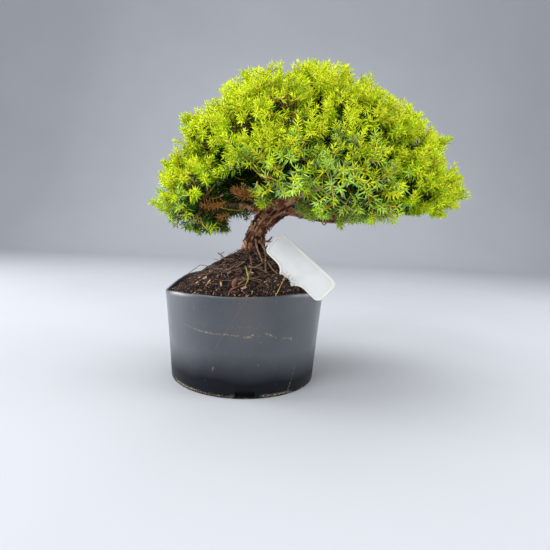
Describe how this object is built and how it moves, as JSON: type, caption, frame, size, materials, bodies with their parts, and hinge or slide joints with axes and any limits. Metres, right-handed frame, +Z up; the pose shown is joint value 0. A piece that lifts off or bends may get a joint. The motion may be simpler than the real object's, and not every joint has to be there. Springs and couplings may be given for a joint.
{
  "type": "juniper bonsai in a pot",
  "caption": "Small juniper bonsai with a leaning trunk and a dense dome of needle foliage, in a cut-down round plastic nursery pot of soil with a blank plant label.",
  "frame": {"origin": "centre of the pot's flat underside", "axes": "+Z up; +X to the right of the plant's front, the way the trunk leans; -Y towards the viewer"},
  "size_m": [0.2247, 0.1756, 0.2309],
  "materials": {
    "pot_plastic": "satin",
    "soil": "matte",
    "label_plastic": "satin",
    "bark": "matte",
    "foliage": "matte"
  },
  "bodies": {
    "root": {"pot": "pot_plastic", "soil": "soil", "label": "label_plastic", "trunk": "bark", "bough_left_low": "bark", "bough_right_low": "bark", "bough_top": "bark", "bough_top_left": "bark", "bough_top_right": "bark", "bough_front_low": "bark", "bough_back_low": "bark", "bough_left_back_low": "bark", "bough_right_front_low": "bark", "bough_right_back_low": "bark", "bough_left_high": "bark", "bough_front_left_low": "bark", "bough_front_left_high": "bark", "bough_front_right_high": "bark", "bough_right_high": "bark", "bough_back_right_high": "bark", "bough_back_left_high": "bark", "foliage_left_low": "foliage", "foliage_right_low": "foliage", "foliage_top": "foliage", "foliage_top_left": "foliage", "foliage_top_right": "foliage", "foliage_front_low": "foliage", "foliage_back_low": "foliage", "foliage_left_back_low": "foliage", "foliage_right_front_low": "foliage", "foliage_right_back_low": "foliage", "foliage_left_high": "foliage", "foliage_front_left_low": "foliage", "foliage_front_left_high": "foliage", "foliage_front_right_high": "foliage", "foliage_right_high": "foliage", "foliage_back_right_high": "foliage", "foliage_back_left_high": "foliage"}
  },
  "joints": []
}
